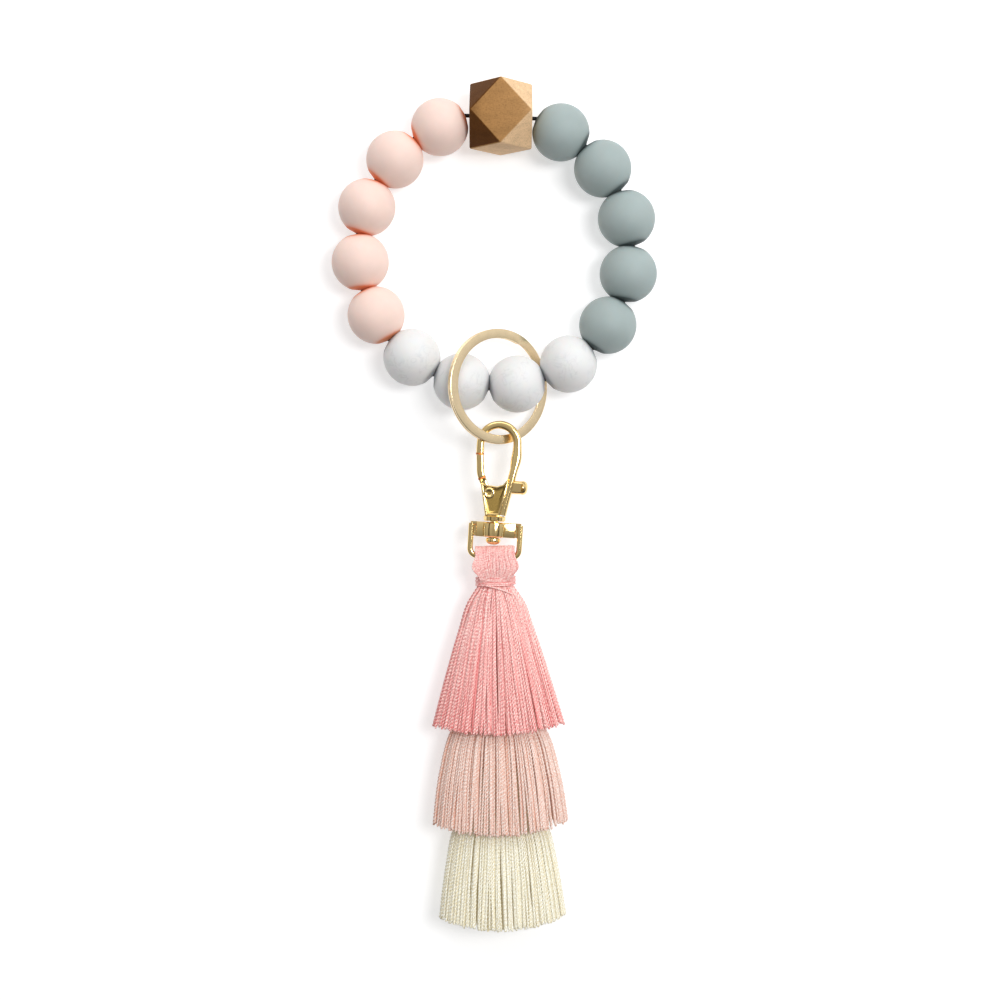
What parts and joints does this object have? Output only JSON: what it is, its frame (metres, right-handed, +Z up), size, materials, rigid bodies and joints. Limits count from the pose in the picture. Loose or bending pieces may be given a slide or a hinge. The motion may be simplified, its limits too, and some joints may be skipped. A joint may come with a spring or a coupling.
{
  "type": "wristlet keychain",
  "caption": "Beaded elastic wrist loop with a faceted wooden bead, a split ring, a swivel lobster clasp and a tiered thread tassel.",
  "frame": {"origin": "centre of the bounding box's footprint on the surface that the keychain lies on", "axes": "+Z up from that surface, +Y along the keychain from the tassel to the wooden bead, +X to the right seen from above"},
  "size_m": [0.085, 0.2202, 0.0182],
  "materials": {
    "wood": "oiled, satin",
    "grey_silicone": "matt",
    "marble_silicone": "matt with faint veins",
    "pink_silicone": "matt",
    "elastic_cord": "braided elastic",
    "gold": "polished plating",
    "antique_gold": "satin",
    "spring_steel": "satin",
    "rose_thread": "twisted thread",
    "blush_thread": "twisted thread",
    "cream_thread": "twisted thread"
  },
  "bodies": {
    "bracelet_top": {"bead_wood": "wood", "cord_wood": "elastic_cord"},
    "link_grey_1": {"cord_grey_1": "elastic_cord"},
    "bead_grey_1": {"bead_grey_1": "grey_silicone"},
    "link_grey_2": {"cord_grey_2": "elastic_cord"},
    "bead_grey_2": {"bead_grey_2": "grey_silicone"},
    "link_grey_3": {"cord_grey_3": "elastic_cord"},
    "bead_grey_3": {"bead_grey_3": "grey_silicone"},
    "link_grey_4": {"cord_grey_4": "elastic_cord"},
    "bead_grey_4": {"bead_grey_4": "grey_silicone"},
    "link_grey_5": {"cord_grey_5": "elastic_cord"},
    "bead_grey_5": {"bead_grey_5": "grey_silicone"},
    "link_marble_1": {"cord_marble_1": "elastic_cord"},
    "bead_marble_1": {"bead_marble_1": "marble_silicone"},
    "link_marble_2": {"cord_marble_2": "elastic_cord"},
    "bead_marble_2": {"bead_marble_2": "marble_silicone"},
    "link_pink_1": {"cord_pink_1": "elastic_cord"},
    "bead_pink_1": {"bead_pink_1": "pink_silicone"},
    "link_pink_2": {"cord_pink_2": "elastic_cord"},
    "bead_pink_2": {"bead_pink_2": "pink_silicone"},
    "link_pink_3": {"cord_pink_3": "elastic_cord"},
    "bead_pink_3": {"bead_pink_3": "pink_silicone"},
    "link_pink_4": {"cord_pink_4": "elastic_cord"},
    "bead_pink_4": {"bead_pink_4": "pink_silicone"},
    "link_pink_5": {"cord_pink_5": "elastic_cord"},
    "bead_pink_5": {"bead_pink_5": "pink_silicone"},
    "link_marble_4": {"cord_marble_4": "elastic_cord"},
    "bead_marble_4": {"bead_marble_4": "marble_silicone"},
    "link_marble_3": {"cord_marble_3": "elastic_cord"},
    "bead_marble_3": {"bead_marble_3": "marble_silicone"},
    "split_ring": {"split_ring": "gold"},
    "hook": {"hook_body": "gold", "lever_rivet": "antique_gold", "lever_spring": "spring_steel", "swivel_post": "gold"},
    "gate": {"gate_lever": "gold"},
    "tassel_frame": {"tassel_frame": "gold"},
    "tassel_tier_1": {"tier_1_threads": "rose_thread", "tier_1_wrap": "rose_thread"},
    "tassel_tier_2": {"tier_2_threads": "blush_thread", "tier_2_wrap": "blush_thread", "tier_2_hanger": "blush_thread"},
    "tassel_tier_3": {"tier_3_threads": "cream_thread", "tier_3_wrap": "cream_thread", "tier_3_hanger": "cream_thread"}
  },
  "joints": [
    {"name": "bracelet_squeeze", "type": "hinge", "parent": "bracelet_top", "child": "link_grey_1", "pos_m": [0.01096, 0.10086, 0.0078], "axis": [0, 0, -1], "range_deg": [-8, 3.5], "stiffness_Nm_per_rad": 0.01},
    {"name": "flex_grey_2", "type": "hinge", "parent": "link_grey_1", "child": "link_grey_2", "pos_m": [0.02384, 0.09368, 0.0078], "axis": [0, 0, -1], "range_deg": [-1.87, 0.82]},
    {"name": "flex_grey_3", "type": "hinge", "parent": "link_grey_2", "child": "link_grey_3", "pos_m": [0.03277, 0.08194, 0.0078], "axis": [0, 0, -1], "range_deg": [-2.01, 4.6]},
    {"name": "flex_grey_4", "type": "hinge", "parent": "link_grey_3", "child": "link_grey_4", "pos_m": [0.03625, 0.0676, 0.0078], "axis": [0, 0, -1], "range_deg": [-3.55, 8.12]},
    {"name": "flex_grey_5", "type": "hinge", "parent": "link_grey_4", "child": "link_grey_5", "pos_m": [0.03371, 0.05308, 0.0078], "axis": [0, 0, -1], "range_deg": [-2.82, 6.44]},
    {"name": "flex_marble_1", "type": "hinge", "parent": "link_grey_5", "child": "link_marble_1", "pos_m": [0.02556, 0.04078, 0.0078], "axis": [0, 0, -1], "range_deg": [-0.278, 0.634]},
    {"name": "flex_marble_2", "type": "hinge", "parent": "link_marble_1", "child": "link_marble_2", "pos_m": [0.01318, 0.03277, 0.0078], "axis": [0, 0, -1], "range_deg": [-5.57, 2.44]},
    {"name": "flex_pink_1", "type": "hinge", "parent": "bracelet_top", "child": "link_pink_1", "pos_m": [-0.00753, 0.10167, 0.0078], "axis": [0, 0, 1], "range_deg": [-8.24, 3.6]},
    {"name": "flex_pink_2", "type": "hinge", "parent": "link_pink_1", "child": "link_pink_2", "pos_m": [-0.02099, 0.09563, 0.0078], "axis": [0, 0, 1], "range_deg": [-1.87, 0.82]},
    {"name": "flex_pink_3", "type": "hinge", "parent": "link_pink_2", "child": "link_pink_3", "pos_m": [-0.0309, 0.08472, 0.0078], "axis": [0, 0, 1], "range_deg": [-2.01, 4.6]},
    {"name": "flex_pink_4", "type": "hinge", "parent": "link_pink_3", "child": "link_pink_4", "pos_m": [-0.03562, 0.07074, 0.0078], "axis": [0, 0, 1], "range_deg": [-3.55, 8.12]},
    {"name": "flex_pink_5", "type": "hinge", "parent": "link_pink_4", "child": "link_pink_5", "pos_m": [-0.03436, 0.05605, 0.0078], "axis": [0, 0, 1], "range_deg": [-2.82, 6.44]},
    {"name": "flex_marble_4", "type": "hinge", "parent": "link_pink_5", "child": "link_marble_4", "pos_m": [-0.02731, 0.04309, 0.0078], "axis": [0, 0, 1], "range_deg": [-0.278, 0.634]},
    {"name": "flex_marble_3", "type": "hinge", "parent": "link_marble_4", "child": "link_marble_3", "pos_m": [-0.01567, 0.03403, 0.0078], "axis": [0, 0, 1], "range_deg": [-5.57, 2.44]},
    {"name": "ring_swing", "type": "hinge", "parent": "link_marble_2", "child": "split_ring", "pos_m": [-0.00131, 0.03189, 0.0078], "axis": [0.999, -0.0436, 0], "range_deg": [-70, 14]},
    {"name": "clasp_swing", "type": "hinge", "parent": "split_ring", "child": "hook", "pos_m": [0.00124, 0.01698, 0.00965], "axis": [0.8526, 0, -0.5225], "range_deg": [-20, 35]},
    {"name": "gate_press", "type": "hinge", "parent": "hook", "child": "gate", "pos_m": [-0.00129, 0.00311, 0.00906], "axis": [0.0006, 0.0097, -1], "range_deg": [0, 28], "stiffness_Nm_per_rad": 0.001, "springref_deg": -57.3},
    {"name": "swivel", "type": "hinge", "parent": "hook", "child": "tassel_frame", "pos_m": [-0.00012, -0.00637, 0.00897], "axis": [0.061, 0.9981, 0.0097], "continuous": true},
    {"name": "tassel_swing", "type": "hinge", "parent": "tassel_frame", "child": "tassel_tier_1", "pos_m": [0.0002, -0.01341, 0.0089], "axis": [-0.9981, 0.061, 0], "range_deg": [-60, 60]},
    {"name": "tier_2_swing", "type": "hinge", "parent": "tassel_tier_1", "child": "tassel_tier_2", "pos_m": [0.0008, -0.0419, 0.0089], "axis": [0.9998, 0.0209, 0], "range_deg": [-5, 5]},
    {"name": "tier_3_swing", "type": "hinge", "parent": "tassel_tier_2", "child": "tassel_tier_3", "pos_m": [0.0013, -0.066, 0.0089], "axis": [0.9998, 0.0209, 0], "range_deg": [-5, 5]},
    {"name": "spin_grey_1", "type": "hinge", "parent": "link_grey_1", "child": "bead_grey_1", "pos_m": [0.0174, 0.09727, 0.0078], "axis": [0.8733, -0.4871, 0], "continuous": true},
    {"name": "spin_grey_2", "type": "hinge", "parent": "link_grey_2", "child": "bead_grey_2", "pos_m": [0.0283, 0.08781, 0.0078], "axis": [0.6054, -0.7959, 0], "continuous": true},
    {"name": "spin_grey_3", "type": "hinge", "parent": "link_grey_3", "child": "bead_grey_3", "pos_m": [0.03451, 0.07477, 0.0078], "axis": [0.2362, -0.9717, 0], "continuous": true},
    {"name": "spin_grey_4", "type": "hinge", "parent": "link_grey_4", "child": "bead_grey_4", "pos_m": [0.03498, 0.06034, 0.0078], "axis": [-0.1724, -0.985, 0], "continuous": true},
    {"name": "spin_grey_5", "type": "hinge", "parent": "link_grey_5", "child": "bead_grey_5", "pos_m": [0.02964, 0.04693, 0.0078], "axis": [-0.5522, -0.8337, 0], "continuous": true},
    {"name": "spin_marble_1", "type": "hinge", "parent": "link_marble_1", "child": "bead_marble_1", "pos_m": [0.01937, 0.03678, 0.0078], "axis": [-0.8397, -0.543, 0], "continuous": true},
    {"name": "spin_marble_2", "type": "hinge", "parent": "link_marble_2", "child": "bead_marble_2", "pos_m": [0.0059, 0.03158, 0.0078], "axis": [-0.9869, -0.1615, 0], "continuous": true},
    {"name": "spin_marble_3", "type": "hinge", "parent": "link_marble_3", "child": "bead_marble_3", "pos_m": [-0.00853, 0.03221, 0.0078], "axis": [-0.969, 0.2469, 0], "continuous": true},
    {"name": "spin_marble_4", "type": "hinge", "parent": "link_marble_4", "child": "bead_marble_4", "pos_m": [-0.02149, 0.03856, 0.0078], "axis": [-0.7892, 0.6141, 0], "continuous": true},
    {"name": "spin_pink_5", "type": "hinge", "parent": "link_pink_5", "child": "bead_pink_5", "pos_m": [-0.03084, 0.04957, 0.0078], "axis": [-0.4775, 0.8786, 0], "continuous": true},
    {"name": "spin_pink_4", "type": "hinge", "parent": "link_pink_4", "child": "bead_pink_4", "pos_m": [-0.03499, 0.0634, 0.0078], "axis": [-0.0859, 0.9963, 0], "continuous": true},
    {"name": "spin_pink_3", "type": "hinge", "parent": "link_pink_3", "child": "bead_pink_3", "pos_m": [-0.03326, 0.07773, 0.0078], "axis": [0.32, 0.9474, 0], "continuous": true},
    {"name": "spin_pink_2", "type": "hinge", "parent": "link_pink_2", "child": "bead_pink_2", "pos_m": [-0.02594, 0.09018, 0.0078], "axis": [0.6724, 0.7402, 0], "continuous": true},
    {"name": "spin_pink_1", "type": "hinge", "parent": "link_pink_1", "child": "bead_pink_1", "pos_m": [-0.01426, 0.09865, 0.0078], "axis": [0.9125, 0.4092, 0], "continuous": true}
  ],
  "couplings": [
    {"joint": "flex_grey_2", "follows": "bracelet_squeeze", "ratio": 0.22707},
    {"joint": "flex_grey_3", "follows": "bracelet_squeeze", "ratio": -0.55786},
    {"joint": "flex_grey_4", "follows": "bracelet_squeeze", "ratio": -0.98505},
    {"joint": "flex_grey_5", "follows": "bracelet_squeeze", "ratio": -0.78106},
    {"joint": "flex_marble_1", "follows": "bracelet_squeeze", "ratio": -0.07687},
    {"joint": "flex_marble_2", "follows": "bracelet_squeeze", "ratio": 0.67612},
    {"joint": "flex_pink_1", "follows": "bracelet_squeeze", "ratio": 1},
    {"joint": "flex_pink_2", "follows": "bracelet_squeeze", "ratio": 0.22707},
    {"joint": "flex_pink_3", "follows": "bracelet_squeeze", "ratio": -0.55786},
    {"joint": "flex_pink_4", "follows": "bracelet_squeeze", "ratio": -0.98505},
    {"joint": "flex_pink_5", "follows": "bracelet_squeeze", "ratio": -0.78106},
    {"joint": "flex_marble_4", "follows": "bracelet_squeeze", "ratio": -0.07687},
    {"joint": "flex_marble_3", "follows": "bracelet_squeeze", "ratio": 0.67612}
  ]
}
